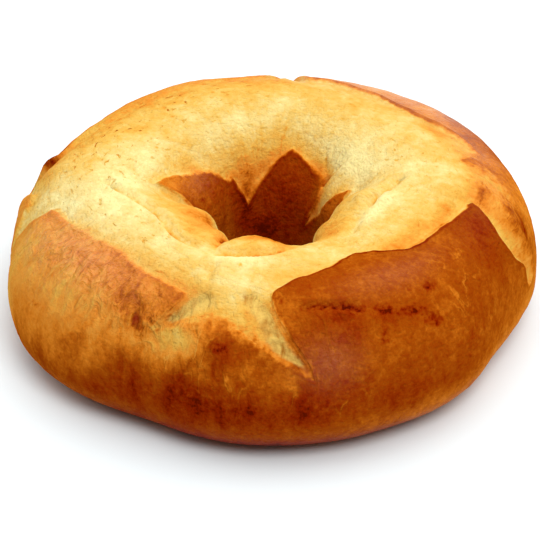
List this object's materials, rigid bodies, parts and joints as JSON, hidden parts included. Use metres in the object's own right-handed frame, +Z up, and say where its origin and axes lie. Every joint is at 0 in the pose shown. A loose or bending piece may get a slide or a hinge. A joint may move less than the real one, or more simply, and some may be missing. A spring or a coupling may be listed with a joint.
{
  "type": "brioche",
  "caption": "Ring-shaped sweet bread with a glossy browned crust, split by a zigzag cut round its top with paler dough risen between the teeth.",
  "frame": {"origin": "middle of the loaf's outline on the surface it lies on, on the axis of its hole", "axes": "+Z up, along the hole's axis; -Y is the front, where the cut in the crust reaches lowest; +X is the loaf's right"},
  "size_m": [0.2396, 0.2408, 0.0765],
  "materials": {
    "crust": "egg-washed browned bread crust, half glossy, with open slashes of paler matt crust"
  },
  "bodies": {
    "root": {"brioche": "crust"}
  },
  "joints": []
}
